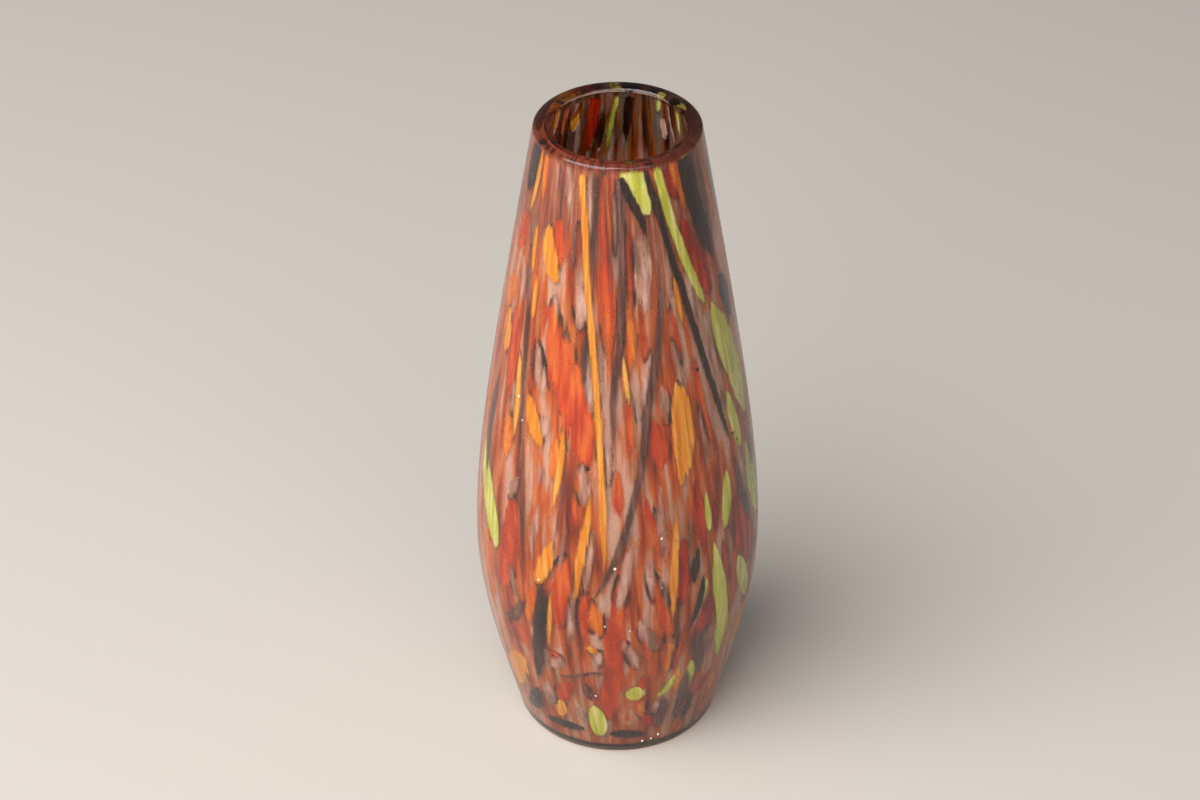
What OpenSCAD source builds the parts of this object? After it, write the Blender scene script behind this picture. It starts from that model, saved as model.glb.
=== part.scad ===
// Hand blown vase: two gathers of clear glass with shards and trails of coloured glass between them.
// +Z is up the axis, the origin is the middle of the foot, and -Y is the front.

/* [Body] */
// Height of the vase
height = 250; // [180:1:320]
// Diameter at the foot, before its edge is rounded
base_d = 72.6; // [60:0.1:86]
// Diameter at the widest place
belly_d = 102.8; // [90:0.1:124]
// Height of the widest place
belly_h = 80; // [60:1:100]
// Outer diameter of the mouth
mouth_d = 57; // [50:0.1:70]
// How softly the side turns into the shoulder, 0.1 is tight
shoulder_ease = 0.3; // [0.1:0.05:1]
// How softly the side turns into the foot, 0.1 is tight
foot_ease = 0.5; // [0.1:0.05:1]

/* [Glass] */
// Thickness of the outer clear glass
casing_t = 1.6; // [1.2:0.1:3]
// Thickness of the inner clear glass
gather_t = 1.4; // [1:0.1:3]
// Thickness of clear glass below the inner gather
base_t = 3; // [2:0.1:6]
// Height of the floor of the hollow
floor_h = 14; // [10:0.5:24]
// Height over which the hollow rounds into its floor
floor_round = 24; // [12:1:40]

/* [Edges] */
// Radius round the foot
foot_round = 3.6; // [1:0.1:6]
// Radius on the outside of the lip
lip_round_out = 1.5; // [0.5:0.1:1.5]
// Radius on the inside of the lip
lip_round_in = 1.2; // [0.5:0.1:1.4]
// Height at the lip where the two gathers are fused
lip_seal = 1.6; // [1:0.1:4]

/* [Colours] */
// Thickness of a shard or trail at its middle
chip_t = 0.17; // [0.1:0.01:0.3]
// Clear glass between one layer of colour and the next
chip_gap = 0.1; // [0.08:0.01:0.2]
// Thickness of the orange ground
ground_t = 0.15; // [0.1:0.01:0.3]

/* [Hidden] */
$fn = 96;

bands = 44;              // rings along the side
arc_steps = 6;           // steps round an edge
pattern_h = 250;         // height that the places of the shards are drawn for
pattern_d = 102.8;       // and the widest diameter
station = 8;             // longest step along a shard
facet = 5.6;             // widest facet across a shard
blunt = 0.04;            // taper below which an end of a shard is cut off square
layers = 8;              // layers of shards
layer_pitch = chip_t + chip_gap;
ground_depth = casing_t + chip_gap + layers * layer_pitch;
gather_depth = ground_depth + ground_t + chip_gap;
wall = gather_depth + gather_t;
zone_low = base_t + 1;   // lowest and highest place for colour
zone_high = height - lip_seal - 0.3;
chip_scale = min(height / pattern_h, belly_d / pattern_d);

// Depth in the wall of the middle of each layer, counted from the outside
function layer_depth(i) = casing_t + chip_gap + i * layer_pitch + chip_t / 2;

// A hyperbola from 0 to 1 that starts level and runs out straight
function ease(u, e) = (sqrt(u * u + e * e) - e) / (sqrt(1 + e * e) - e);

// Outer radius of the vase at height z
function side_r(z) = z < belly_h
    ? (belly_d - (belly_d - base_d) * ease(1 - z / belly_h, foot_ease)) / 2
    : (belly_d - (belly_d - mouth_d) * ease((z - belly_h) / (height - belly_h), shoulder_ease)) / 2;

// Points up the side at a depth in the wall, from z0 to z1
function side(depth, z0, z1) =
    [for (i = [0:bands]) let(z = z0 + (z1 - z0) * i / bands) [side_r(z) - depth, z]];

function down(points) = [for (i = [len(points) - 1:-1:0]) points[i]];

// A rounded edge about centre c, from angle a0 to a1
function edge(c, r, a0, a1) =
    [for (i = [0:arc_steps]) let(a = a0 + (a1 - a0) * i / arc_steps) c + r * [cos(a), sin(a)]];

// Foot and lip outside, each with its edge rounded
foot_edge = edge([side_r(foot_round) - foot_round, foot_round], foot_round, -90, 0);
lip_out = edge([side_r(height - lip_round_out) - lip_round_out, height - lip_round_out], lip_round_out, 0, 90);
lip_in = edge([side_r(height - lip_round_in) - wall + lip_round_in, height - lip_round_in], lip_round_in, 90, 180);

// The hollow's rounded floor, from the side to the axis
corner_h = floor_h + floor_round;
corner_r = side_r(corner_h) - wall;
floor_steps = 14;
floor_curve = [for (i = [1:floor_steps]) let(a = 90 - 90 * i / floor_steps)
    [corner_r * sin(a), corner_h - floor_round * cos(a)]];

outer_side = side(0, foot_round + 0.5, height - lip_round_out - 0.3);
casing_inside = side(casing_t, base_t, height);
gather_outside = side(gather_depth, base_t, height - lip_seal);
gather_lip = side(casing_t, height - lip_seal, height);
hollow_side = side(wall, corner_h, height - lip_round_in - 0.2);

// Shards: [width, [taper at each end as a share of the length], [[degrees from the front, height], ...]]

vermilion = [
    [11, [0.32, 0.32], [[-70, 226], [-73, 214], [-76, 202]]],
    [11, [0.32, 0.32], [[-67, 190], [-63, 176], [-62, 161], [-60, 148]]],
    [10, [0.32, 0.32], [[-41, 231], [-38, 219], [-35, 206]]],
    [17, [0.3, 0.32], [[-41, 200], [-36, 185], [-28, 171], [-20, 158], [-16, 146], [-16, 132]]],
    [7.5, [0.03, 0.32], [[-8, 249], [-8, 235], [-7, 220], [-6, 205], [-5, 190], [-4.5, 174]]],
    [4, [0.3, 0.32], [[-26, 231], [-24.5, 218], [-22.5, 205]]],
    [3.2, [0.32, 0.32], [[-48.5, 190], [-48.3, 176], [-47.5, 164], [-45.5, 154]]],
    [2.6, [0.3, 0.32], [[-55.8, 194], [-53.5, 178], [-52, 163]]],
    [3.5, [0.32, 0.32], [[-19.5, 195], [-18, 185], [-16, 175]]],
    [6, [0.32, 0.32], [[-1, 140], [0.5, 129], [0, 114]]],
    [5, [0.03, 0.32], [[22, 250], [25, 243], [27.5, 236], [29, 230]]],
    [5, [0.3, 0.32], [[6, 233], [6.5, 219], [7.5, 206], [9, 195]]],
    [5.5, [0.32, 0.32], [[5.5, 172], [5.5, 158], [6, 147], [4.5, 134]]],
    [5, [0.32, 0.32], [[13, 192], [14, 184], [14, 176]]],
    [10, [0.32, 0.32], [[16, 160], [18, 150], [20, 141], [19, 131]]],
    [5, [0.3, 0.32], [[29, 200], [31, 190], [33, 181], [35, 170]]],
    [6, [0.32, 0.32], [[40, 182], [42, 167], [45, 152], [49, 139], [53, 126]]],
    [14, [0.32, 0.32], [[-50, 121], [-50, 106], [-52, 93], [-55, 80], [-58, 67]]],
    [11, [0.32, 0.32], [[-22, 104], [-23, 91], [-25, 77], [-26, 62]]],
    [5.5, [0.32, 0.32], [[-20, 131], [-19, 119], [-20, 107]]],
    [8.5, [0.32, 0.32], [[-13.5, 90], [-13.5, 80], [-13.5, 70], [-14, 60]]],
    [12, [0.32, 0.2], [[0, 98], [1, 86], [0, 75], [-1.5, 64], [-1, 54], [-2, 44], [-3, 34], [-4, 24], [-4, 15]]],
    [10, [0.3, 0.32], [[-54, 68], [-48, 57], [-42, 46]]],
    [5, [0.32, 0.32], [[-32, 55], [-28, 52], [-23, 49.5]]],
    [10, [0.3, 0.32], [[-19, 43], [-24, 36.5], [-28, 29], [-31, 21]]],
    [4.5, [0.32, 0.32], [[-14.5, 47], [-13.5, 41], [-13.5, 34]]],
    [8, [0.32, 0.3], [[12, 101], [15, 89], [19, 78], [22, 67], [23, 55]]],
    [6.5, [0.32, 0.32], [[8.5, 74], [11, 65], [14, 56], [16, 47]]],
    [9, [0.3, 0.3], [[11.5, 49], [11.5, 39], [11, 29], [10.5, 18]]],
    [5.5, [0.32, 0.32], [[11, 131], [14, 119], [17, 108], [19, 97]]],
    [6, [0.3, 0.32], [[30, 70], [29, 60], [27, 51], [25, 41]]],
    [3.5, [0.03, 0.32], [[152, 249], [155, 240], [157, 232]]],
    [4, [0.03, 0.32], [[161, 249], [163, 242], [165, 235]]],
    [7, [0.03, 0.32], [[224, 249], [226, 240], [228, 229]]]
];

oxblood = [
    [11.5, [0.3, 0.34], [[43, 229], [47, 218], [52, 208], [57, 199], [63, 189]]],
    [4.5, [0.34, 0.34], [[63, 245], [66, 236], [69, 229]]],
    [6.5, [0.03, 0.34], [[35, 247], [39, 239], [43, 231]]],
    [17, [0.3, 0.3], [[59, 116], [62, 103], [66, 92], [72, 82], [79, 71]]],
    [8, [0.3, 0.34], [[29, 110], [28, 97], [28, 85], [27, 72]]],
    [5, [0.34, 0.34], [[49, 101], [50, 91], [53, 81], [56, 71]]],
    [9.5, [0.34, 0.3], [[43, 82], [41, 70], [37, 60], [33, 50]]],
    [4.5, [0.34, 0.3], [[45, 118], [46, 108], [45.5, 99]]],
    [6.5, [0.34, 0.34], [[35, 132], [37, 118], [38.5, 105], [39.5, 92]]],
    [9.5, [0.34, 0.3], [[53, 37], [45, 28], [38, 20], [33, 12]]],
    [8.5, [0.34, 0.3], [[10, 23], [18, 17.5], [27, 12]]],
    [9, [0.03, 0.3], [[198.5, 250], [199, 240], [201, 230], [203, 218]]]
];

tangerine = [
    [6.5, [0.03, 0.34], [[-57, 249], [-57, 238], [-56.5, 226]]],
    [5, [0.34, 0.34], [[-38, 201], [-36, 192], [-34, 182]]],
    [3, [0.34, 0.34], [[-31, 213], [-30, 198], [-29, 180]]],
    [3.5, [0.34, 0.34], [[-25.5, 200], [-24, 185], [-22, 167]]],
    [9.5, [0.34, 0.34], [[-60, 150], [-58, 138], [-58, 124]]],
    [11, [0.34, 0.34], [[-74, 201], [-75, 190], [-78, 178]]],
    [6.5, [0.03, 0.34], [[41, 250], [44, 242], [46.5, 234], [49, 225]]],
    [6, [0.3, 0.34], [[8, 199], [6.5, 185], [6, 169]]],
    [11, [0.34, 0.34], [[-70, 98], [-68, 86], [-66, 74], [-62, 61]]],
    [7, [0.3, 0.34], [[-36, 89], [-37.5, 78], [-40, 68], [-43, 58]]],
    [8.5, [0.34, 0.34], [[-11, 86], [-9.5, 75], [-7, 63]]],
    [7.5, [0.34, 0.34], [[21, 70], [23, 59], [22.5, 50], [22, 39]]],
    [5.5, [0.34, 0.34], [[13, 33], [12.5, 26], [12, 18]]],
    [9.5, [0.3, 0.34], [[54, 33], [57, 24], [61, 15]]],
    [9.5, [0.3, 0.34], [[72, 242], [74, 228], [77, 212]]],
    [5.5, [0.03, 0.34], [[206, 247], [205, 236], [204, 225]]],
    [6.5, [0.3, 0.34], [[-29, 150], [-29, 138], [-31, 126]]]
];

lilac = [
    [8.5, [0.35, 0.36], [[-46, 184], [-43, 173], [-40, 165], [-36, 158]]],
    [7.5, [0.36, 0.36], [[-36.5, 156], [-35.5, 150], [-36, 141]]],
    [5, [0.36, 0.36], [[-16, 187], [-15, 175], [-13.5, 165], [-11.5, 154]]],
    [8.5, [0.36, 0.36], [[-24.5, 210], [-21, 202], [-19.5, 195], [-20.5, 186]]],
    [4.2, [0.36, 0.36], [[-38.5, 202], [-35.5, 197], [-33, 189]]],
    [5, [0.36, 0.36], [[-58.5, 165], [-57, 154], [-56, 143]]],
    [7, [0.36, 0.36], [[-67, 209], [-63, 199], [-60, 186]]],
    [3.6, [0.03, 0.36], [[-46.5, 249], [-45, 237], [-46, 224]]],
    [5, [0.03, 0.36], [[-35, 249], [-33.5, 238], [-31.5, 225]]],
    [2.6, [0.3, 0.36], [[-27.5, 234], [-27, 223], [-26, 208]]],
    [4.5, [0.03, 0.36], [[-19.5, 249], [-18.5, 240], [-17.5, 230], [-16.5, 216]]],
    [3.5, [0.36, 0.36], [[-2.5, 243], [-2, 230], [-1.5, 214]]],
    [3.7, [0.36, 0.36], [[-10.5, 196], [-9.5, 183], [-8, 171], [-8, 157]]],
    [7.5, [0.36, 0.36], [[-15.5, 142], [-14.5, 131], [-15, 119]]],
    [5, [0.36, 0.36], [[-37, 138], [-36, 130], [-36, 122]]],
    [4.2, [0.36, 0.36], [[-5, 151], [-4, 140], [-4.5, 128]]],
    [9.5, [0.3, 0.36], [[13, 230], [15, 216], [15, 203], [15, 190]]],
    [6, [0.36, 0.36], [[17, 186], [15, 174], [11.5, 164], [9, 152]]],
    [10.5, [0.35, 0.36], [[40, 213], [44, 198], [48, 185], [52, 172], [56, 159], [60, 145]]],
    [6, [0.36, 0.36], [[21, 172], [23, 162], [24, 150]]],
    [5.5, [0.36, 0.36], [[20, 134], [18, 124], [18, 115], [20, 105], [21, 95]]],
    [4.2, [0.36, 0.36], [[41, 160], [42, 147], [43.5, 136], [42, 122]]],
    [5, [0.36, 0.36], [[28, 188], [31, 175], [34, 161]]],
    [4.2, [0.36, 0.36], [[31, 216], [29.5, 204], [28, 192]]],
    [6, [0.36, 0.36], [[-47, 128], [-50, 120], [-54, 111]]],
    [6, [0.36, 0.36], [[-34, 123], [-36.5, 112], [-38, 102], [-37, 90]]],
    [4.2, [0.36, 0.36], [[-23, 122], [-23, 109], [-24, 98], [-26, 88]]],
    [5.5, [0.36, 0.36], [[-9, 118], [-11, 105], [-12.5, 94], [-14, 81]]],
    [5.5, [0.3, 0.36], [[-18, 92], [-19, 79], [-20, 68], [-22, 57]]],
    [8, [0.36, 0.36], [[-24, 55], [-28, 48], [-35, 43]]],
    [11.5, [0.3, 0.3], [[-14.5, 54], [-9, 55], [-3, 53]]],
    [6, [0.36, 0.36], [[-51, 89], [-48, 79], [-44, 69]]],
    [8.5, [0.36, 0.36], [[-34, 40], [-36, 28], [-37, 16]]],
    [7.5, [0.36, 0.36], [[-25, 25], [-20, 21], [-15, 16]]],
    [8, [0.35, 0.36], [[7.5, 78], [11, 69], [15, 62], [18, 56]]],
    [7, [0.36, 0.36], [[1.5, 68], [4.5, 59.5], [8, 53], [11, 47]]],
    [8, [0.36, 0.36], [[8, 118], [6, 104], [3, 93], [1, 84], [0, 74]]],
    [6.5, [0.36, 0.36], [[12, 111], [13.5, 99], [14, 90], [15, 79]]],
    [3.6, [0.36, 0.36], [[19.5, 93], [20, 84], [20.5, 74]]],
    [5, [0.36, 0.36], [[52.5, 105], [53.5, 95], [56, 85]]],
    [8.5, [0.36, 0.36], [[16.5, 30], [21, 24.5], [25, 17]]],
    [5, [0.36, 0.36], [[42, 68], [44, 54], [47, 40]]],
    [8.5, [0.36, 0.36], [[64, 132], [67, 117], [71, 102]]],
    [5, [0.3, 0.3], [[3, 18], [7, 17.5], [11, 17.5]]],
    [8.5, [0.2, 0.3], [[143, 245], [143, 236], [142, 226]]],
    [4.5, [0.03, 0.36], [[187, 249], [188, 243], [187, 235]]],
    [5, [0.03, 0.36], [[211, 248], [215, 243], [220, 238]]]
];

amber = [
    [3.8, [0.03, 0.2], [[-26, 250], [-24, 240], [-21, 228], [-18.5, 215], [-16.5, 203], [-14, 192], [-12, 180],
        [-10.5, 168], [-9, 155], [-8, 145], [-7, 135], [-6.5, 125], [-6, 112], [-5, 102], [-6.5, 90]]],
    [9, [0.3, 0.4], [[-46.5, 228], [-44.5, 215], [-40, 207], [-33, 202]]],
    [4, [0.4, 0.4], [[-50.5, 206], [-50.5, 195], [-50, 183]]],
    [4, [0.03, 0.5], [[-62.5, 250], [-63.5, 238], [-65.5, 228], [-67, 219]]],
    [4, [0.4, 0.4], [[-56, 224], [-56.5, 212], [-54, 200]]],
    [9, [0.4, 0.4], [[-47, 163], [-44, 153], [-40, 146], [-34, 138]]],
    [9, [0.4, 0.4], [[-73, 187], [-71, 175], [-70, 163]]],
    [4, [0.4, 0.4], [[-25.5, 156], [-25.5, 141], [-27, 128], [-29.5, 114]]],
    [5, [0.4, 0.4], [[-57, 176], [-54.5, 161], [-53, 148], [-54, 134]]],
    [12, [0.35, 0.4], [[29, 172], [31, 159], [32, 148], [30, 137], [28, 124]]],
    [4.5, [0.4, 0.3], [[25, 122], [25.3, 112], [24.5, 103], [23.5, 92], [24, 81], [23, 67]]],
    [3.4, [0.4, 0.4], [[2.5, 184], [4, 172], [6, 160]]],
    [4, [0.4, 0.4], [[33, 210], [35, 198], [36.5, 186]]],
    [6.5, [0.4, 0.4], [[60, 179], [63, 168], [65, 157]]],
    [8, [0.4, 0.4], [[-27, 109], [-30, 98], [-33, 90], [-37, 81]]],
    [5, [0.4, 0.4], [[-11, 133], [-13, 116], [-15, 103], [-16.5, 92], [-18, 76]]],
    [3.4, [0.4, 0.4], [[-28, 88], [-29, 74], [-30, 64], [-31, 50]]],
    [14, [0.3, 0.3], [[-45, 45], [-54, 36], [-61, 27], [-67, 16]]],
    [7.5, [0.4, 0.4], [[-27.5, 29], [-30.5, 21], [-34, 14]]],
    [5, [0.4, 0.4], [[-14, 62], [-11, 59.5], [-7, 57]]],
    [15, [0.3, 0.3], [[64, 62], [69, 48], [73, 33], [77, 17]]],
    [5, [0.4, 0.4], [[28, 49], [29, 39], [29, 29]]],
    [5, [0.4, 0.4], [[51, 70], [54, 59], [55, 48]]],
    [9, [0.03, 0.4], [[211, 249], [214, 240], [217, 230]]],
    [7, [0.03, 0.4], [[235, 250], [238, 243], [239, 234]]]
];

lime = [
    [10, [0.03, 0.5], [[7, 252], [12, 243], [17, 236], [21.5, 229]]],
    [4.5, [0.03, 0.2], [[27, 250], [30, 241], [33.5, 231], [38, 221], [43, 210], [49, 199], [54.5, 189]]],
    [13, [0.4, 0.3], [[57, 194], [62, 182], [67, 171], [72, 159], [76, 147], [79, 134]]],
    [5, [0.03, 0.4], [[52, 250], [55, 242], [58, 234], [59.5, 225]]],
    [7, [0.4, 0.3], [[60.5, 158], [62.5, 146], [65.5, 136], [68, 126]]],
    [12, [0.4, 0.35], [[-80, 130], [-74, 116], [-68, 106], [-63, 97], [-59, 85]]],
    [8, [0.35, 0.3], [[-12, 31], [-11, 22], [-10, 14], [-9.5, 7]]],
    [10, [0.45, 0.45], [[2, 36], [8.5, 35.5], [15, 35.5]]],
    [4.5, [0.4, 0.4], [[27, 45], [26, 38], [22.5, 33.5], [17.5, 31]]],
    [5.5, [0.4, 0.4], [[35, 49], [36, 40], [36, 29]]],
    [8, [0.4, 0.3], [[43, 103], [45, 91], [46.5, 80], [49, 69], [51, 58], [52, 48], [54, 36]]],
    [7, [0.4, 0.4], [[54, 129], [53.5, 118], [52, 109], [50, 99]]],
    [4, [0.4, 0.4], [[40.5, 125], [41, 112], [42, 103]]],
    [4.5, [0.4, 0.4], [[40, 87], [37.5, 80], [34, 71]]],
    [9, [0.4, 0.4], [[58, 89], [62, 77], [67, 68], [71, 58]]],
    [13, [0.4, 0.3], [[74, 130], [76, 115], [80, 102], [85, 88]]],
    [5, [0.03, 0.4], [[122.5, 250], [124.5, 242], [126, 232]]],
    [4.5, [0.03, 0.4], [[143.5, 249], [146, 244.5], [148, 238]]],
    [4.5, [0.03, 0.4], [[179, 250], [182, 242], [185, 234], [187, 226], [188, 215]]]
];

aubergine = [
    [2.6, [0.2, 0.2], [[-64, 233], [-61, 218], [-59, 208], [-56, 196], [-53, 180], [-50.5, 162], [-49.5, 150],
        [-48, 140], [-46, 129], [-44.5, 118], [-43, 107], [-41.5, 95], [-39.5, 78]]],
    [2.2, [0.03, 0.5], [[-41.5, 250], [-40, 240], [-38, 232], [-36.5, 222]]],
    [2.2, [0.03, 0.4], [[-15, 249], [-14.5, 236], [-15, 222], [-14.5, 209], [-13, 197]]],
    [2, [0.03, 0.4], [[-9.5, 250], [-8.5, 238], [-6.5, 226], [-5, 212], [-4, 198]]],
    [3.8, [0.03, 0.3], [[0.5, 250], [1.5, 236], [3, 222], [2.5, 208], [2, 195], [0.5, 183], [-1.5, 172],
        [-2.5, 160], [-2, 148], [-1, 137]]],
    [3, [0.4, 0.4], [[-16.5, 193], [-17, 179], [-15.5, 165]]],
    [2.2, [0.4, 0.4], [[-23, 149], [-23.5, 134], [-24.5, 122], [-26.5, 108], [-28.5, 96]]],
    [6, [0.4, 0.4], [[-71, 163], [-73, 149], [-75, 136], [-74, 123], [-71, 111]]],
    [4, [0.2, 0.2], [[24.5, 230], [24.5, 213], [24, 200], [22, 190], [20, 180], [17, 170], [14, 160],
        [12, 150], [11, 142], [9, 132], [6, 122], [3, 112], [0, 104], [-5, 92], [-9, 86], [-13, 76]]],
    [5.5, [0.4, 0.4], [[-40, 77], [-45, 69], [-50, 62], [-57, 56]]],
    [2.8, [0.4, 0.4], [[-33, 41.5], [-24, 42], [-17, 45], [-10, 48], [-2, 47]]],
    [5, [0.4, 0.4], [[-14.5, 42], [-14, 36], [-12, 29]]],
    [2.6, [0.4, 0.4], [[31, 120], [31, 109], [32, 98]]],
    [2.6, [0.4, 0.4], [[25, 86], [26, 73], [26, 64], [27, 53]]],
    [7, [0.35, 0.4], [[36.5, 67], [36, 56], [40, 46], [42, 34]]],
    [5.5, [0.4, 0.3], [[34, 46], [34, 34], [33, 24], [32, 10]]],
    [6.5, [0.4, 0.3], [[23.5, 33], [23.5, 22], [22.5, 10]]],
    [9, [0.03, 0.4], [[61.5, 250], [63, 242], [65, 232], [67, 221], [69, 209]]],
    [5.5, [0.4, 0.4], [[60, 133], [62, 119], [65, 109], [68, 101], [72, 92]]],
    [6.5, [0.4, 0.4], [[75, 131], [78, 121], [81, 111]]],
    [1.8, [0.03, 0.4], [[150.5, 250], [151, 238], [153, 225]]],
    [2.4, [0.03, 0.4], [[228.5, 250], [230, 240], [232, 229]]]
];

black = [
    [9, [0.03, 0.4], [[-70.5, 249], [-71.5, 239], [-74, 226]]],
    [4, [0.03, 0.4], [[1.5, 247], [6, 240], [12, 234], [16, 229], [19, 221]]],
    [3.4, [0.03, 0.15], [[18, 250], [21, 243], [24.5, 236], [27.5, 229], [30.5, 221], [34, 211], [38, 201],
        [42, 189], [46, 176], [50, 163], [54, 150], [57, 140], [60, 132]]],
    [9, [0.03, 0.4], [[50, 250], [52, 240], [55, 231], [60, 220], [64, 211], [67, 203]]],
    [10, [0.4, 0.4], [[71, 200], [73, 192], [76, 184], [79, 174]]],
    [7, [0.25, 0.4], [[-32, 90], [-32.5, 79], [-34, 69], [-35.5, 59], [-37, 49], [-40, 39], [-42, 30]]],
    [9, [0.4, 0.4], [[-42, 30], [-45, 22], [-50, 16], [-59, 11]]],
    [6, [0.3, 0.3], [[-45, 11], [-36, 12], [-26, 12.5], [-14, 12.5]]],
    [6, [0.3, 0.4], [[-7, 11.5], [2, 11.5], [10, 11], [19, 9.5]]],
    [5, [0.4, 0.4], [[35.5, 103], [33.5, 93], [32.5, 84]]],
    [4, [0.4, 0.4], [[37, 93], [37.5, 84], [35.5, 76], [33, 70], [31, 62]]],
    [5, [0.4, 0.4], [[41, 30], [38.5, 19], [38, 8]]],
    [4.5, [0.03, 0.4], [[132.5, 250], [133.5, 240], [133, 226]]],
    [7, [0.03, 0.4], [[169, 250], [171, 242], [173, 234], [175, 220]]],
    [6, [0.4, 0.4], [[190, 243], [192, 232], [194, 218]]]
];

// The far side, where the shards of each colour lie in upright lanes between these two angles
back_from = 92;
back_to = 268;

function pick(seed, i, low, high) = rands(low, high, i + 1, seed)[i];

// Shards of one colour down a lane from height top, each followed by a stretch of clear glass
function lane(mid, spread, width, long, gap, top, seed, i = 0) =
    top < 16 ? [] :
    let(run = min(pick(seed, i, long[0], long[1]), top - 8),
        lean = pick(seed + 1, i, -1, 1),
        room = max(0, spread / 2 - width / 1.7),
        a = mid + lean * room * 0.5,
        w = width * pick(seed + 2, i, 0.55, 1),
        bend = pick(seed + 3, i, -0.5, 0.5) * room)
    concat(
        [[w, [0.4, 0.4], [[a + bend, top], [a, top - run / 2], [a - bend, top - run]]]],
        lane(mid, spread, width, long, gap, top - run - pick(seed + 4, i, gap[0], gap[1]), seed, i + 1));

function far_side(lanes, width, long, gap, top, seed) =
    [for (k = [0:lanes - 1])
        let(spread = (back_to - back_from) / lanes, mid = back_from + spread * (k + 0.5))
        each lane(mid, spread, width, long, gap, top - pick(seed + 5, k, 0, long[1] / 2), seed + 10 * k)];

back_vermilion = far_side(7, 14, [40, 76], [4, 18], 216, 11);
back_oxblood = far_side(5, 12, [36, 66], [18, 50], 212, 211);
back_tangerine = far_side(6, 9, [30, 60], [20, 46], 216, 411);
back_lilac = far_side(8, 8, [22, 44], [16, 38], 216, 611);
back_amber = far_side(6, 8, [40, 90], [12, 36], 218, 811);
back_lime = far_side(5, 10, [30, 76], [28, 70], 212, 1011);
back_aubergine = far_side(8, 4, [60, 120], [8, 30], 218, 1211);
back_black = far_side(6, 6.5, [40, 84], [24, 60], 214, 1411);

// A smooth curve through the points, at t from 0 to 1
function along(points, t) =
    let(n = len(points) - 1, x = t * n, i = min(floor(x), n - 1), u = x - i,
        b = points[i], c = points[i + 1],
        a = i > 0 ? points[i - 1] : 2 * b - c,
        d = i < n - 1 ? points[i + 2] : 2 * c - b)
    0.5 * (2 * b + (c - a) * u + (2 * a - 5 * b + 4 * c - d) * u * u + (3 * b - a - 3 * c + d) * u * u * u);

// Share of the full width at t, with each end drawn out to a point
function fullness(t, tapers) = let(x = min(1, t / tapers[0], (1 - t) / tapers[1])) x * (2 - x);

function length_of(points) = len(points) < 2 ? 0 :
    let(last = len(points) - 1,
        steps = [for (i = [1:last]) let(d = points[i] - points[i - 1], z = points[i][1])
            norm([d[0] * side_r(z) * PI / 180, d[1]])])
    steps * [for (s = steps) 1];

// A point in the wall from its angle, its height and its depth
function in_wall(angle, z, depth) =
    let(h = min(zone_high, max(zone_low, z)), r = side_r(h) - depth)
    [r * sin(angle), -r * cos(angle), h];

// The ring of points round a shard at t: one edge, the outer face, the other edge, then the inner face
function shard_ring(points, width, tapers, t, k, depth) =
    let(p = along(points, t), q = along(points, min(1, t + 0.01)), o = along(points, max(0, t - 0.01)),
        mm = side_r(p[1]) * PI / 180,
        dir = [(q[0] - o[0]) * mm, q[1] - o[1]] / norm([(q[0] - o[0]) * mm, q[1] - o[1]]),
        f = fullness(t, tapers), half = width / 2 * f)
    [for (j = [0:2 * k - 1])
        let(across = j <= k ? j / k : 2 - j / k,
            s = half * (2 * across - 1),
            lift = chip_t / 2 * f * sqrt(sin(180 * across)) * (j < k ? 1 : -1))
        in_wall(p[0] - s * dir[1] / mm, p[1] + s * dir[0], depth - lift)];

// Points of one shard, its rings and points to a ring, and whether it starts with a square cut
function shard(item, depth) =
    let(points = [for (p = item[2]) [p[0], p[1] * height / pattern_h]],
        width = item[0] * chip_scale, tapers = item[1],
        n = max(4, ceil(length_of(points) / station)),
        k = max(2, ceil(width / facet) * 2 - (width < facet ? 0 : 1)),
        is_cut = tapers[0] < blunt,
        ts = concat(is_cut ? [tapers[0]] : [], [for (i = [1:n - 1]) i / n]))
    [concat(
        is_cut ? [] : [in_wall(points[0][0], points[0][1], depth)],
        [for (t = ts) each shard_ring(points, width, tapers, t, k, depth)],
        [in_wall(points[len(points) - 1][0], points[len(points) - 1][1], depth)]),
     len(ts), 2 * k, is_cut];

// A square cut across the first ring, from its outer face to its inner face
function cut_faces(ring, first) =
    [for (j = [0:ring / 2 - 1])
        let(o1 = first + j, o2 = first + j + 1, i1 = first + (ring - j) % ring, i2 = first + ring - j - 1)
        each concat(j > 0 ? [[o2, o1, i1]] : [], j < ring / 2 - 1 ? [[o2, i1, i2]] : [])];

// Both sides of a shard are split along the same diagonals, so that they stay parallel
function shard_faces(rings, ring, is_cut, start) =
    let(first = is_cut ? start : start + 1, end = first + rings * ring)
    concat(
        is_cut ? cut_faces(ring, first)
            : [for (j = [0:ring - 1]) [start, first + (j + 1) % ring, first + j]],
        [for (i = [0:rings - 2]) for (j = [0:ring - 1])
            let(a = first + i * ring + j, b = first + i * ring + (j + 1) % ring)
            each j < ring / 2 ? [[a, b, b + ring], [a, b + ring, a + ring]]
                : [[a, b, a + ring], [b, b + ring, a + ring]]],
        [for (j = [0:ring - 1]) [end, end - ring + j, end - ring + (j + 1) % ring]]);

// Where each shard's points start in the joined list
function starts(parts, i = 0, at = 0) = i >= len(parts) ? [] :
    concat([at], starts(parts, i + 1, at + len(parts[i][0])));

// All the shards of one colour as separate closed lenses in one layer
module shards(items, layer) {
    parts = [for (item = items) shard(item, layer_depth(layer))];
    at = starts(parts);
    polyhedron(
        points = [for (p = parts) each p[0]],
        faces = [for (i = [0:len(parts) - 1]) each shard_faces(parts[i][1], parts[i][2], parts[i][3], at[i])]);
}

// Clear bubble that holds the hollow: it fuses with the casing at the lip and under its floor
module inner_gather() {
    color([0.92, 0.88, 0.88, 0.35])
        rotate_extrude()
            polygon(concat([[0, base_t]], gather_outside, gather_lip, lip_in, down(hollow_side), floor_curve));
}

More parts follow.
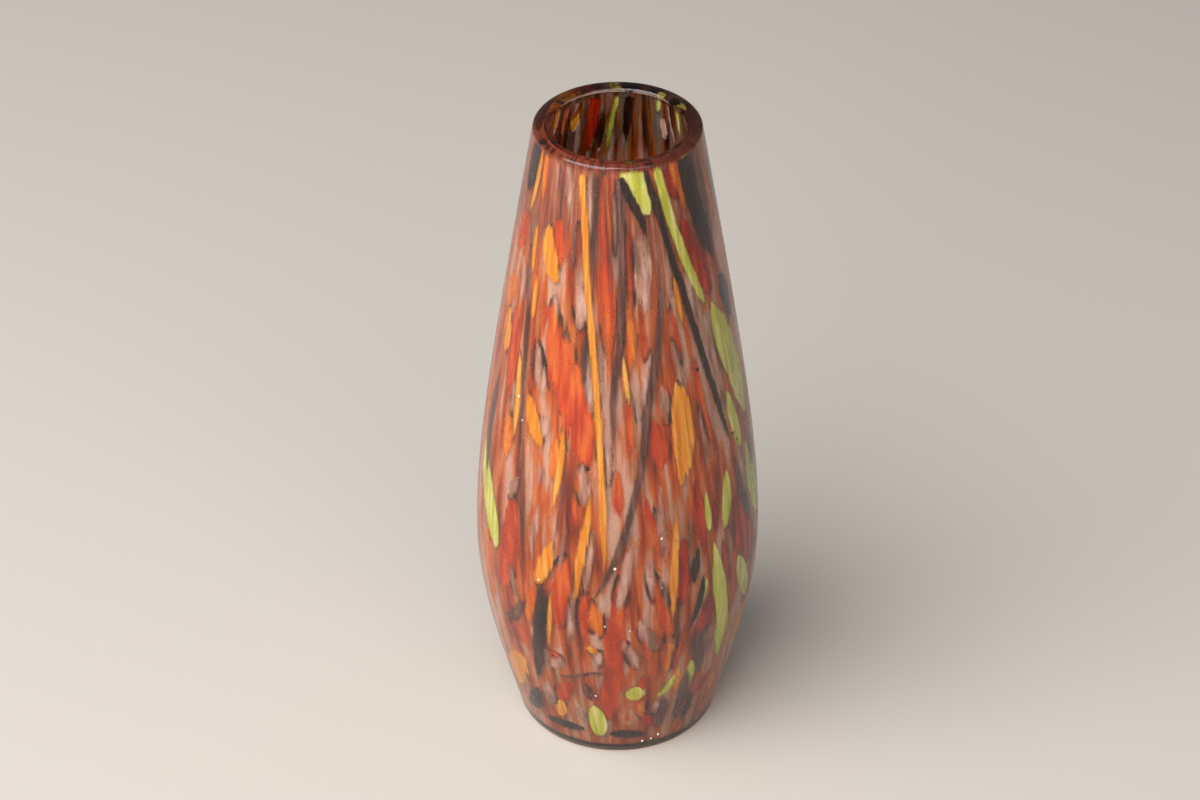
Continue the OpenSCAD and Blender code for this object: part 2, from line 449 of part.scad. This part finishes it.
// Clear glass outside the colour, with the foot and the outer half of the lip
module outer_casing() {
    color([0.9, 0.84, 0.83, 0.35])
        rotate_extrude()
            polygon(concat([[0, 0]], foot_edge, outer_side, lip_out, down(casing_inside), [[0, base_t]]));
}

// Thin even film of orange glass behind the shards
module orange_ground() {
    color("sienna")
        rotate_extrude()
            polygon(concat(side(ground_depth, zone_low, zone_high),
                down(side(ground_depth + ground_t, zone_low, zone_high))));
}

module vermilion_shards() {
    color("orangered") shards(concat(vermilion, back_vermilion), 7);
}

module oxblood_shards() {
    color("darkred") shards(concat(oxblood, back_oxblood), 6);
}

module tangerine_shards() {
    color("darkorange") shards(concat(tangerine, back_tangerine), 5);
}

module lilac_shards() {
    color("thistle") shards(concat(lilac, back_lilac), 4);
}

module amber_trails() {
    color("goldenrod") shards(concat(amber, back_amber), 3);
}

module lime_shards() {
    color("yellowgreen") shards(concat(lime, back_lime), 2);
}

module aubergine_trails() {
    color([0.29, 0.18, 0.2]) shards(concat(aubergine, back_aubergine), 1);
}

module black_shards() {
    color([0.08, 0.06, 0.07]) shards(concat(black, back_black), 0);
}

inner_gather();
outer_casing();
orange_ground();
vermilion_shards();
oxblood_shards();
tangerine_shards();
lilac_shards();
amber_trails();
lime_shards();
aubergine_trails();
black_shards();
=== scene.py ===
import math
import bmesh
import bpy
import numpy as np
from mathutils import Matrix, Vector, bvhtree, kdtree


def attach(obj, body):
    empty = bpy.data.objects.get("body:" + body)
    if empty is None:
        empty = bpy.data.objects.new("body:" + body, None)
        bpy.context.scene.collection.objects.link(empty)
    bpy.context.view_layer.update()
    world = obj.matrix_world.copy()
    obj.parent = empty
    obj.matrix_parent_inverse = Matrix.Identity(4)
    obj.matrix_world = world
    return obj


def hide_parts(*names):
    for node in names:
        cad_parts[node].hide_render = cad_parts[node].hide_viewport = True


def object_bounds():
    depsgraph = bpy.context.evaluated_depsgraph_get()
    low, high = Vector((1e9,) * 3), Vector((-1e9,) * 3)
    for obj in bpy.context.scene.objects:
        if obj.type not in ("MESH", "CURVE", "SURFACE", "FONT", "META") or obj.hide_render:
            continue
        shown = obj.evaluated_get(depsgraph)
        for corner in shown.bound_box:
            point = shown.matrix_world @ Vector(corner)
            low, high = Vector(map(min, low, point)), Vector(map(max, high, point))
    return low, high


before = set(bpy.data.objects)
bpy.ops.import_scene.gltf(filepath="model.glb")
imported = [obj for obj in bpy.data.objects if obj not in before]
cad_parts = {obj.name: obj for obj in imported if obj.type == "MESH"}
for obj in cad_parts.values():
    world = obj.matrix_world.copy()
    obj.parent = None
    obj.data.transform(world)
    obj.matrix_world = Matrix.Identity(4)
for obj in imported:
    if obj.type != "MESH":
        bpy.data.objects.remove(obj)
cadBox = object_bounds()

mm = 0.001
lowCorner, highCorner = cadBox
vaseHeight = highCorner.z - lowCorner.z
print("frame loaded:", sorted(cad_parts))


# camera a little over a metre away, looking down at the mouth
cameraView = {"lens": 96, "sensor": 36, "distance": 1.141, "elevation": 35.74, "aimHeight": 0.542,
    "aside": -6.25 * mm, "roll": 0.2}

def placeCamera(view):
    camera = bpy.data.objects.new("camera", bpy.data.cameras.new("camera"))
    bpy.context.scene.collection.objects.link(camera)
    camera.data.lens = view["lens"]
    camera.data.sensor_width = view["sensor"]
    aim = Vector((view["aside"], 0, lowCorner.z + view["aimHeight"] * vaseHeight))
    rise = math.radians(view["elevation"])
    camera.location = (0, -view["distance"] * math.cos(rise), aim.z + view["distance"] * math.sin(rise))
    look = (aim - camera.location).to_track_quat("-Z", "Y").to_matrix()
    camera.rotation_euler = (look @ Matrix.Rotation(math.radians(-view["roll"]), 3, "Z")).to_euler()
    bpy.context.scene.camera = camera
    bpy.context.scene.view_settings.view_transform = "Standard"

placeCamera(cameraView)
print("camera placed")


def linear(hexColour):
    channels = [int(hexColour[i:i + 2], 16) / 255 for i in (1, 3, 5)]
    return tuple(c / 12.92 if c < 0.04045 else ((c + 0.055) / 1.055) ** 2.4 for c in channels) + (1,)

def addNode(tree, kind, links=None, **settings):
    node = tree.nodes.new(kind)
    for name, value in settings.items():
        setattr(node, name, value)
    for socket, value in (links or {}).items():
        if isinstance(value, bpy.types.NodeSocket):
            tree.links.new(value, node.inputs[socket])
        else:
            node.inputs[socket].default_value = value
    return node

# a run of colours along a factor, from (place, hex) stops
def hueRamp(tree, factor, stops):
    hue = addNode(tree, "ShaderNodeValToRGB", {"Fac": factor})
    ramp = hue.color_ramp
    for i, (place, colour) in enumerate(stops):
        element = ramp.elements[i] if i < 2 else ramp.elements.new(place)
        element.position, element.color = place, linear(colour)
    return hue.outputs["Color"]

def emptyMaterial(name):
    material = bpy.data.materials.new(name)
    material.use_nodes = True
    material.node_tree.nodes.clear()
    return material, material.node_tree

def newPiece(name, mesh, materials, slot, *stands):
    piece = bpy.data.objects.new(name, mesh)
    bpy.context.scene.collection.objects.link(piece)
    for material in materials:
        mesh.materials.append(material)
    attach(piece, "root")
    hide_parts(*stands)
    return piece

def weldedCopy(node):
    bm = bmesh.new()
    bm.from_mesh(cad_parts[node].data)
    bmesh.ops.remove_doubles(bm, verts=bm.verts, dist=0.001 * mm)
    return bm


# the outline of a turned node, cut from it as a wire on the XZ plane
def cutOutline(node):
    bm = weldedCopy(node)
    everything = bm.verts[:] + bm.edges[:] + bm.faces[:]
    bmesh.ops.bisect_plane(bm, geom=everything, dist=0.0001 * mm, plane_co=(0, 0, 0), plane_no=(0, 1, 0),
        clear_inner=True, clear_outer=True)
    bmesh.ops.bisect_plane(bm, geom=bm.verts[:] + bm.edges[:], dist=0.0001 * mm, plane_co=(0, 0, 0),
        plane_no=(1, 0, 0), clear_inner=True)
    bmesh.ops.remove_doubles(bm, verts=bm.verts, dist=0.01 * mm)
    return bm

# the same outline turned again in finer steps
def turnedAgain(node, steps):
    bm = cutOutline(node)
    bmesh.ops.spin(bm, geom=bm.verts[:] + bm.edges[:], cent=(0, 0, 0), axis=(0, 0, 1), angle=math.tau,
        steps=steps, use_merge=True)
    bmesh.ops.remove_doubles(bm, verts=bm.verts, dist=0.001 * mm)
    bmesh.ops.recalc_face_normals(bm, faces=bm.faces)
    return bm

def outerRadius():
    wire = cutOutline("outer_casing")
    radii = {}
    for v in wire.verts:
        height = round(v.co.z, 5)
        radii[height] = max(radii.get(height, 0), v.co.x)
    wire.free()
    heights = sorted(radii)
    # the outside is the convex hull of the outline, so a ring inside its neighbours is not on the outside
    kept = []
    for z in heights:
        while len(kept) > 1:
            (z0, r0), (z1, r1) = kept[-2:]
            if (r1 - r0) * (z - z0) > (radii[z] - r0) * (z1 - z0):
                break
            kept.pop()
        kept.append((z, radii[z]))
    fine = np.linspace(kept[0][0], kept[-1][0], 1001)
    return fine, np.interp(fine, *zip(*kept))

skinHeights, skinRadii = outerRadius()

def skinRadius(z):
    return np.interp(z, skinHeights, skinRadii)

# the way the hot glass was drawn out: round the vase on a drum, up its height, in millimetres
flowDrum = {"radius": 45, "twist": -0.05}

def addFlow(mesh):
    co = np.empty(len(mesh.vertices) * 3)
    mesh.vertices.foreach_get("co", co)
    co = co.reshape(-1, 3)
    height = (co[:, 2] - lowCorner.z) / mm
    turn = np.arctan2(co[:, 0], -co[:, 1]) - np.radians(flowDrum["twist"] * height)
    flow = np.stack([flowDrum["radius"] * np.sin(turn), -flowDrum["radius"] * np.cos(turn), height], 1)
    mesh.attributes.new("flow", "FLOAT_VECTOR", "POINT").data.foreach_set("vector", flow.ravel())

# coordinates for streaks so many millimetres across and along
def drawnOut(tree, flow, across, along):
    return addNode(tree, "ShaderNodeMapping", {"Vector": flow.outputs["Vector"],
        "Scale": (1 / across, 1 / across, 1 / along)}).outputs[0]


# glass that lamps shine through without being bent, so that what is inside is lit
def lampsThrough(tree, shader, tint):
    rays = addNode(tree, "ShaderNodeLightPath")
    clear = addNode(tree, "ShaderNodeBsdfTransparent", {"Color": linear(tint)})
    mixed = addNode(tree, "ShaderNodeMixShader", {0: rays.outputs["Is Shadow Ray"], 1: shader,
        2: clear.outputs[0]})
    addNode(tree, "ShaderNodeOutputMaterial", {"Surface": mixed.outputs[0]})

# a colour that changes with height in millimetres, from (height, hex) stops
def tintByHeight(tree, height, stops):
    share = addNode(tree, "ShaderNodeMath", {0: height, 1: vaseHeight / mm}, operation="DIVIDE")
    return hueRamp(tree, share.outputs[0], [(z * mm / vaseHeight, colour) for z, colour in stops])

# soda-lime glass etched with acid: even satin, no sharp reflection, a slight milky veil; the lip is fire
# polished over dark glass, and the glass is tinted darker brown over the lowest 9 mm towards the foot
satinGlass = {"tints": ((0, "#8E7460"), (9, "#F4E8E2"), (247.2, "#F4E8E2"), (248.4, "#8A6560")),
    "shadowTint": "#F3E6E0", "veil": "#D8BEB0", "veilShare": 0.015, "roughness": (0.22, 0.30),
    "ior": 1.5, "grain": 0.5, "grainDepth": 0.02, "lipRoughness": 0.06, "lipFrom": 248.0}

def satinMaterial(look):
    material, tree = emptyMaterial("etchedSodaGlass")
    flow = addNode(tree, "ShaderNodeAttribute", attribute_name="flow")
    handling = addNode(tree, "ShaderNodeTexNoise", {"Vector": flow.outputs["Vector"], "Scale": 0.06,
        "Detail": 3})
    rough = addNode(tree, "ShaderNodeMapRange", {"Value": handling.outputs["Fac"], "From Min": 0.35,
        "From Max": 0.65, "To Min": look["roughness"][0], "To Max": look["roughness"][1]})
    spot = addNode(tree, "ShaderNodeSeparateXYZ", {0: flow.outputs["Vector"]})
    lip = addNode(tree, "ShaderNodeMapRange", {"Value": spot.outputs["Z"], "From Min": look["lipFrom"],
        "From Max": look["lipFrom"] + 0.8, "To Min": rough.outputs[0], "To Max": look["lipRoughness"]})
    grain = addNode(tree, "ShaderNodeTexNoise", {"Vector": flow.outputs["Vector"], "Scale": 1 / look["grain"]})
    bump = addNode(tree, "ShaderNodeBump", {"Height": grain.outputs["Fac"], "Distance": look["grainDepth"] * mm,
        "Strength": 0.6})
    glass = addNode(tree, "ShaderNodeBsdfPrincipled", {"Base Color": tintByHeight(tree, spot.outputs["Z"],
        look["tints"]), "Roughness": lip.outputs[0], "IOR": look["ior"], "Transmission Weight": 1,
        "Normal": bump.outputs[0]})
    veil = addNode(tree, "ShaderNodeBsdfDiffuse", {"Color": linear(look["veil"])})
    mixed = addNode(tree, "ShaderNodeMixShader", {0: look["veilShare"], 1: glass.outputs[0],
        2: veil.outputs[0]})
    lampsThrough(tree, mixed.outputs[0], look["shadowTint"])
    return material

# soda-lime glass as blown: wet looking, with sharp reflections
clearGlass = {"tints": ((0, "#EDE0D8"), (30, "#FAF4F0"), (246.8, "#FAF4F0"), (248.4, "#8E6C66")),
    "shadowTint": "#F7EFEA", "roughness": 0.03, "ior": 1.5}

def clearMaterial(look):
    material, tree = emptyMaterial("blownSodaGlass")
    flow = addNode(tree, "ShaderNodeAttribute", attribute_name="flow")
    spot = addNode(tree, "ShaderNodeSeparateXYZ", {0: flow.outputs["Vector"]})
    swell = addNode(tree, "ShaderNodeTexNoise", {"Vector": flow.outputs["Vector"], "Scale": 0.12, "Detail": 2})
    bump = addNode(tree, "ShaderNodeBump", {"Height": swell.outputs["Fac"], "Distance": 0.4 * mm,
        "Strength": 0.5})
    glass = addNode(tree, "ShaderNodeBsdfPrincipled", {"Base Color": tintByHeight(tree, spot.outputs["Z"],
        look["tints"]), "Roughness": look["roughness"], "IOR": look["ior"], "Transmission Weight": 1,
        "Normal": bump.outputs[0]})
    lampsThrough(tree, glass.outputs[0], look["shadowTint"])
    return material

# where two gathers are fused there is nothing to see
def fusedMaterial():
    material, tree = emptyMaterial("fusedGlassSeam")
    clear = addNode(tree, "ShaderNodeBsdfTransparent", {"Color": (1, 1, 1, 1)})
    addNode(tree, "ShaderNodeOutputMaterial", {"Surface": clear.outputs[0]})
    return material

def smoothMesh(name, bm):
    for face in bm.faces:
        face.smooth = True
    mesh = bpy.data.meshes.new(name)
    bm.to_mesh(mesh)
    bm.free()
    addFlow(mesh)
    return mesh

turnSteps = 160
turnedSharp = math.radians(40)
satin = satinMaterial(satinGlass)
clear = clearMaterial(clearGlass)
fused = fusedMaterial()

def gather(name, isFused, shown, slot):
    bm = turnedAgain(name, turnSteps)
    for face in bm.faces:
        middle = face.calc_center_median()
        outward = Vector((middle.x, middle.y, 0)).normalized()
        face.material_index = int(isFused(face.normal.dot(outward), face.normal.z, middle.z))
    mesh = smoothMesh(name + "_melt", bm)
    mesh.set_sharp_from_angle(angle=turnedSharp)
    return newPiece(name + "_melt", mesh, [shown, fused], slot, name)

gather("outer_casing", lambda out, up, z: out < -0.2 or (up > 0.7 and z < vaseHeight / 2), satin,
    "satin_casing")
gather("inner_gather", lambda out, up, z: out > 0.2 or up < -0.5, clear, "clear_liner")
print("clear gathers turned")


# a thin layer of coloured glass fused inside clear glass, so it has no shine of its own; part of the light
# comes through it, and where cover is low it isn't there
layerRoughness = 0.6

def colouredLayer(tree, hue, through, cover):
    body = addNode(tree, "ShaderNodeBsdfPrincipled", {"Base Color": hue, "Roughness": layerRoughness,
        "Specular IOR Level": 0})
    glow = addNode(tree, "ShaderNodeBsdfTranslucent", {"Color": hue})
    lit = addNode(tree, "ShaderNodeMixShader", {0: through, 1: body.outputs[0], 2: glow.outputs[0]})
    gone = addNode(tree, "ShaderNodeBsdfTransparent")
    faded = addNode(tree, "ShaderNodeMixShader", {0: cover, 1: gone.outputs[0], 2: lit.outputs[0]})
    addNode(tree, "ShaderNodeOutputMaterial", {"Surface": faded.outputs[0]})

# each colour: its hues, how soft its edge is in mm, how far into the shard the edge is torn as a share of its
# width, how much light comes through, and how wide and long its streaks are in mm
colours = {
    "vermilion_shards": {"slot": "vermilion_glass", "hues": ("#D44A0C", "#B83608", "#E47826"), "fade": 2.2,
        "torn": 0.65, "through": 0.4, "streak": (2.6, 20)},
    "oxblood_shards": {"slot": "oxblood_glass", "hues": ("#B42408", "#8E1806", "#D84414"), "fade": 1.5,
        "torn": 0.5, "through": 0.4, "streak": (2.4, 20)},
    "tangerine_shards": {"slot": "tangerine_glass", "hues": ("#E88018", "#DA6612", "#F2A63C"), "fade": 2.0,
        "torn": 0.7, "through": 0.45, "streak": (2.4, 18)},
    "lilac_shards": {"slot": "lilac_glass", "hues": ("#D2A892", "#A47E6A", "#E8D0C2"), "fade": 2.4,
        "torn": 0.7, "through": 0.5, "streak": (2.6, 16)},
    "amber_trails": {"slot": "amber_glass", "hues": ("#F0A81C", "#DE8E10", "#F8CC60"), "fade": 1.1,
        "torn": 0.5, "through": 0.45, "streak": (1.6, 24)},
    "lime_shards": {"slot": "lime_glass", "hues": ("#DCE464", "#C4CC40", "#F2F6B0"), "fade": 0.9,
        "torn": 0.2, "through": 0.4, "streak": (2.2, 22)},
    "aubergine_trails": {"slot": "aubergine_glass", "hues": ("#664039", "#4A2C2A", "#8A6258"), "fade": 1.4,
        "torn": 0.35, "through": 0.35, "streak": (1.6, 24)},
    "black_shards": {"slot": "black_glass", "hues": ("#241412", "#160C0C", "#442822"), "fade": 0.8,
        "torn": 0.4, "through": 0.2, "streak": (1.8, 20)},
}

# glass coloured with cadmium, copper or manganese and broken into shards: dense in the middle, thin at the edge
def shardMaterial(name, look):
    material, tree = emptyMaterial(name)
    flow = addNode(tree, "ShaderNodeAttribute", attribute_name="flow")
    edge = addNode(tree, "ShaderNodeAttribute", attribute_name="edge")
    half = addNode(tree, "ShaderNodeAttribute", attribute_name="half")
    drawn = drawnOut(tree, flow, *look["streak"])
    streaks = addNode(tree, "ShaderNodeTexNoise", {"Vector": drawn, "Scale": 1, "Detail": 4})
    fibres = addNode(tree, "ShaderNodeTexNoise", {"Vector": drawn, "Scale": 1.5, "Detail": 4})
    main, dark, light = look["hues"]
    hue = hueRamp(tree, streaks.outputs["Fac"], ((0.36, dark), (0.5, main), (0.64, light)))
    pull = addNode(tree, "ShaderNodeMath", {0: fibres.outputs["Fac"], 1: -look["torn"] * 2,
        2: look["torn"] * 0.7}, operation="MULTIPLY_ADD")
    torn = addNode(tree, "ShaderNodeMath", {0: pull.outputs[0], 1: half.outputs["Fac"],
        2: edge.outputs["Fac"]}, operation="MULTIPLY_ADD")
    cover = addNode(tree, "ShaderNodeMapRange", {"Value": torn.outputs[0], "From Min": 0,
        "From Max": look["fade"]}, interpolation_type="SMOOTHSTEP")
    colouredLayer(tree, hue, look["through"], cover.outputs[0])
    return material

# the sharp outline of the shards; the square cuts at the lip are left out, so that colour runs right up to it
def rimEdges(bm):
    return [e for e in bm.edges if e.is_manifold and e.calc_face_angle() > math.radians(120)]

def islands(bm):
    seen = set()
    for start in bm.verts:
        if start.index in seen:
            continue
        island, reach = [], [start]
        seen.add(start.index)
        while reach:
            v = reach.pop()
            island.append(v.index)
            for e in v.link_edges:
                other = e.other_vert(v)
                if other.index not in seen:
                    seen.add(other.index)
                    reach.append(other)
        yield island

# the melted shards of each colour, to find where they cover the ground
covering = []

# shards with their outlines smoothed, laid back on their own depth in the wall, and the distance of every
# point from the edge kept
def meltedShards(node, look):
    bm = weldedCopy(node)
    crease = bm.edges.layers.float.new("crease_edge")
    for e in rimEdges(bm):
        e[crease] = 1
    depths = [skinRadius(v.co.z) - math.hypot(v.co.x, v.co.y) for e in rimEdges(bm) for v in e.verts]
    depth = float(np.median(depths))
    rough = bpy.data.meshes.new("rough")
    bm.to_mesh(rough)
    bm.free()
    holder = bpy.data.objects.new("holder", rough)
    bpy.context.scene.collection.objects.link(holder)
    rounding = holder.modifiers.new("rounding", "SUBSURF")
    rounding.levels = rounding.render_levels = 2
    mesh = bpy.data.meshes.new_from_object(holder.evaluated_get(bpy.context.evaluated_depsgraph_get()))
    bpy.data.objects.remove(holder)
    bm = bmesh.new()
    bm.from_mesh(mesh)
    bm.normal_update()
    rim = rimEdges(bm)
    tree = kdtree.KDTree(len(rim) * 3)
    for i, e in enumerate(rim):
        for j in range(3):
            tree.insert(e.verts[0].co.lerp(e.verts[1].co, j / 3), i * 3 + j)
    tree.balance()
    onRim = {v for e in rim for v in e.verts}
    edgeDistance = []
    halfWidth = [0] * len(bm.verts)
    for v in bm.verts:
        away = 0 if v in onRim else tree.find(v.co)[2]
        edgeDistance.append(away / mm)
        outward = Vector((v.co.x, v.co.y, 0)).normalized()
        side = 0 if v in onRim else math.copysign(1, v.normal.dot(outward))
        lift = side * 0.08 * mm * min(1, away / (1.5 * mm)) ** 0.5
        radius = float(skinRadius(v.co.z)) - depth + lift
        v.co.x, v.co.y = outward.x * radius, outward.y * radius
    for shard in islands(bm):
        widest = max(edgeDistance[i] for i in shard)
        for i in shard:
            halfWidth[i] = widest
    for face in bm.faces:
        face.smooth = True
    bm.to_mesh(mesh)
    covering.append((bvhtree.BVHTree.FromBMesh(bm),
        [min(edgeDistance[v.index] for v in f.verts) for f in bm.faces],
        [max(halfWidth[v.index] for v in f.verts) * look["torn"] * 0.4 + look["fade"] for f in bm.faces]))
    bm.free()
    mesh.name = node
    mesh.materials.clear()
    mesh.attributes.new("edge", "FLOAT", "POINT").data.foreach_set("value", edgeDistance)
    mesh.attributes.new("half", "FLOAT", "POINT").data.foreach_set("value", halfWidth)
    addFlow(mesh)
    mesh.set_sharp_from_angle(angle=math.radians(80))
    piece = newPiece(node + "_melt", mesh, [shardMaterial(look["slot"], look)], look["slot"], node)
    print(node, "melted,", len(mesh.polygons), "faces, depth", round(depth / mm, 2))
    return piece

for node, look in colours.items():
    meltedShards(node, look)


# a thin wash of orange glass drawn out in streaks, from brown through orange to lilac where it is thinnest; it
# ran away from under the shards and has fine upright striations at the front of the neck, where it is painted
# lighter and more pink, partly its own salmon glass and partly a painted sheen; behind the neck, seen inside
# the mouth, it is painted dark brown as painted shade
groundGlass = {
    "hues": ((0.50, "#98380A"), (0.58, "#C25214"), (0.65, "#E27622"), (0.71, "#DC8A52"), (0.78, "#E2C0AA")),
    # front of the neck: its own salmon glass, painted lighter and more pink as a painted sheen
    "neck": ((0.40, "#984C34"), (0.50, "#D88460"), (0.56, "#C4683E"), (0.66, "#E4AA8C")),
    "neckFrom": (205, 232),
    # painted shade: the back of the neck, seen inside the mouth, is painted in dark browns
    "throatInShade": ((0.50, "#241408"), (0.58, "#4C240A"), (0.66, "#8A4410"), (0.76, "#5E5A4C")),
    "neckSide": (20, -15), "cover": (0.6, 0.98), "through": 0.5, "streak": (4.6, 38), "fibre": (1.1, 30),
    "hidden": (0, 0.8)}
groundMesh = {"steps": 240, "cuts": 3}

def groundMaterial(look):
    material, tree = emptyMaterial("orangeWashGlass")
    flow = addNode(tree, "ShaderNodeAttribute", attribute_name="flow")
    under = addNode(tree, "ShaderNodeAttribute", attribute_name="under")
    drawn = drawnOut(tree, flow, *look["streak"])
    fine = drawnOut(tree, flow, *look["fibre"])
    streaks = addNode(tree, "ShaderNodeTexNoise", {"Vector": drawn, "Scale": 1, "Detail": 5})
    fibres = addNode(tree, "ShaderNodeTexNoise", {"Vector": fine, "Scale": 1, "Detail": 3})
    both = addNode(tree, "ShaderNodeMath", {0: fibres.outputs["Fac"], 1: 0.35, 2: streaks.outputs["Fac"]},
        operation="MULTIPLY_ADD")
    spot = addNode(tree, "ShaderNodeSeparateXYZ", {0: flow.outputs["Vector"]})
    atNeck = addNode(tree, "ShaderNodeMapRange", {"Value": spot.outputs["Z"], "From Min": look["neckFrom"][0],
        "From Max": look["neckFrom"][1]}, interpolation_type="SMOOTHSTEP")
    atFront = addNode(tree, "ShaderNodeMapRange", {"Value": spot.outputs["Y"], "From Min": look["neckSide"][0],
        "From Max": look["neckSide"][1]}, interpolation_type="SMOOTHSTEP")
    # mask of the painted sheen at the front of the neck, over the glass's own salmon colour
    pinkAndSheenMask = addNode(tree, "ShaderNodeMath", {0: atNeck.outputs[0], 1: atFront.outputs[0]},
        operation="MULTIPLY")
    # painted shade: from the neck up the ground takes the dark browns, which stay behind the neck
    low = addNode(tree, "ShaderNodeMix", {0: atNeck.outputs[0], 6: hueRamp(tree, both.outputs[0], look["hues"]),
        7: hueRamp(tree, both.outputs[0], look["throatInShade"])}, data_type="RGBA")
    hue = addNode(tree, "ShaderNodeMix", {0: pinkAndSheenMask.outputs[0], 6: low.outputs[2],
        7: hueRamp(tree, fibres.outputs["Fac"], look["neck"])}, data_type="RGBA")
    patches = addNode(tree, "ShaderNodeTexNoise", {"Vector": drawn, "Scale": 0.8, "Detail": 3})
    thin = addNode(tree, "ShaderNodeMapRange", {"Value": patches.outputs["Fac"], "From Min": 0.36,
        "From Max": 0.56, "To Min": look["cover"][0], "To Max": look["cover"][1]},
        interpolation_type="SMOOTHSTEP")
    bare = addNode(tree, "ShaderNodeMapRange", {"Value": under.outputs["Fac"], "From Min": look["hidden"][0],
        "From Max": look["hidden"][1], "To Min": thin.outputs[0], "To Max": 0},
        interpolation_type="SMOOTHSTEP")
    colouredLayer(tree, hue.outputs[2], look["through"], bare.outputs[0])
    return material

# how far inside the solid part of a shard this place of the ground lies; seen through the mouth the shards
# lie bare
mouthView = {"from": 190 * mm, "margin": 0.45}

def underShard(co):
    outward = Vector((co.x, co.y, 0)).normalized()
    atMouth = co.y > 0 and co.z - lowCorner.z > mouthView["from"]
    inside = 0
    for tree, edges, margins in covering:
        face = tree.ray_cast(co - outward * 0.5 * mm, outward, 5 * mm)[2]
        if face is not None:
            inside = max(inside, edges[face] - margins[face] * (mouthView["margin"] if atMouth else 0.9))
    return inside

def groundFilm():
    bm = cutOutline("orange_ground")
    longEdges = [e for e in bm.edges if e.calc_length() > 2 * mm]
    bmesh.ops.subdivide_edges(bm, edges=longEdges, cuts=groundMesh["cuts"])
    bmesh.ops.spin(bm, geom=bm.verts[:] + bm.edges[:], cent=(0, 0, 0), axis=(0, 0, 1), angle=math.tau,
        steps=groundMesh["steps"], use_merge=True)
    bmesh.ops.remove_doubles(bm, verts=bm.verts, dist=0.001 * mm)
    bmesh.ops.recalc_face_normals(bm, faces=bm.faces)
    under = [underShard(v.co) for v in bm.verts]
    mesh = smoothMesh("orange_ground_melt", bm)
    mesh.set_sharp_from_angle(angle=turnedSharp)
    mesh.attributes.new("under", "FLOAT", "POINT").data.foreach_set("value", under)
    return newPiece("orange_ground_melt", mesh, [groundMaterial(groundGlass)], "orange_ground",
        "orange_ground")

film = groundFilm()
print("ground laid,", len(film.data.polygons), "faces")


# bubbles that broke open at the skin, coloured near white as a painted glint on top of their own glossy
# reflection, and dark specks of slag in it: (degrees from the front, height in mm)
bits = {
    # painted glint: the open bubbles are near white
    "open_bubbles_painted_glint": {"places": ((-5, 73), (-33, 88), (-10, 35), (-1, 99), (18, 89), (18, 110), (-47, 149),
        (-51, 157), (5, 71), (14, 6.5), (19, 7), (23, 8.5)), "radius": 0.38, "material": "brokenBubblePaintedGlint",
        "colour": "#F6F0EA", "roughness": (0.08, 0.3)},
    "slag_specks": {"places": ((66, 144), (60, 138), (63, 134), (41, 171)), "radius": 0.55,
        "material": "slagSpeck", "colour": "#1C1410", "roughness": (0.4, 0.7)},
}

def bitMaterial(look):
    material, tree = emptyMaterial(look["material"])
    flow = addNode(tree, "ShaderNodeAttribute", attribute_name="flow")
    pitting = addNode(tree, "ShaderNodeTexNoise", {"Vector": flow.outputs["Vector"], "Scale": 6, "Detail": 2})
    rough = addNode(tree, "ShaderNodeMapRange", {"Value": pitting.outputs["Fac"], "From Min": 0.35,
        "From Max": 0.65, "To Min": look["roughness"][0], "To Max": look["roughness"][1]})
    glass = addNode(tree, "ShaderNodeBsdfPrincipled", {"Base Color": linear(look["colour"]),
        "Roughness": rough.outputs[0], "IOR": 1.5})
    addNode(tree, "ShaderNodeOutputMaterial", {"Surface": glass.outputs[0]})
    return material

def skinBits(name, look):
    bm = bmesh.new()
    for i, (degrees, height) in enumerate(look["places"]):
        turn = math.radians(degrees)
        z = lowCorner.z + height * mm
        r = float(skinRadius(z))
        size = look["radius"] * mm * (0.7, 1, 0.85, 1.2)[i % 4]
        place = Matrix.Translation((r * math.sin(turn), -r * math.cos(turn), z)) @ Matrix.Rotation(turn, 4, "Z")
        drop = place @ Matrix.Diagonal((1, 0.35, 1.3, 1))
        bmesh.ops.create_icosphere(bm, subdivisions=3, radius=size, matrix=drop)
    newPiece(name, smoothMesh(name, bm), [bitMaterial(look)], "satin_casing")

for name, look in bits.items():
    skinBits(name, look)
print("bubbles and specks set in the skin")


# plain pale floor and soft studio light
studio = {"floor": "#CCC5BC", "floorRoughness": 0.7, "floorSize": 6, "world": 0.12, "lamps": (
    {"name": "key", "power": 60, "size": 1.9, "place": (-0.85, -0.85, 1.45)},
    {"name": "fill", "power": 9, "size": 1.2, "place": (0.75, -1.5, 1.3)})}

def makeFloor(look):
    bm = bmesh.new()
    bmesh.ops.create_grid(bm, x_segments=1, y_segments=1, size=look["floorSize"])
    bmesh.ops.translate(bm, verts=bm.verts, vec=(0, 0, lowCorner.z))
    mesh = bpy.data.meshes.new("floor")
    bm.to_mesh(mesh)
    bm.free()
    floor = bpy.data.objects.new("floor", mesh)
    bpy.context.scene.collection.objects.link(floor)
    material, tree = emptyMaterial("paleFloor")
    paint = addNode(tree, "ShaderNodeBsdfPrincipled", {"Base Color": linear(look["floor"]),
        "Roughness": look["floorRoughness"]})
    addNode(tree, "ShaderNodeOutputMaterial", {"Surface": paint.outputs[0]})
    mesh.materials.append(material)

def makeLights(look):
    world = bpy.data.worlds.new("studio")
    world.use_nodes = True
    world.node_tree.nodes["Background"].inputs["Color"].default_value = (1, 1, 1, 1)
    world.node_tree.nodes["Background"].inputs["Strength"].default_value = look["world"]
    bpy.context.scene.world = world
    for lamp in look["lamps"]:
        light = bpy.data.lights.new(lamp["name"], "AREA")
        light.energy = lamp["power"]
        light.size = lamp["size"]
        holder = bpy.data.objects.new(lamp["name"], light)
        holder.location = lamp["place"]
        aim = Vector((0, 0, vaseHeight / 2)) - holder.location
        holder.rotation_euler = aim.to_track_quat("-Z", "Y").to_euler()
        bpy.context.scene.collection.objects.link(holder)

makeFloor(studio)
makeLights(studio)
print("studio set")
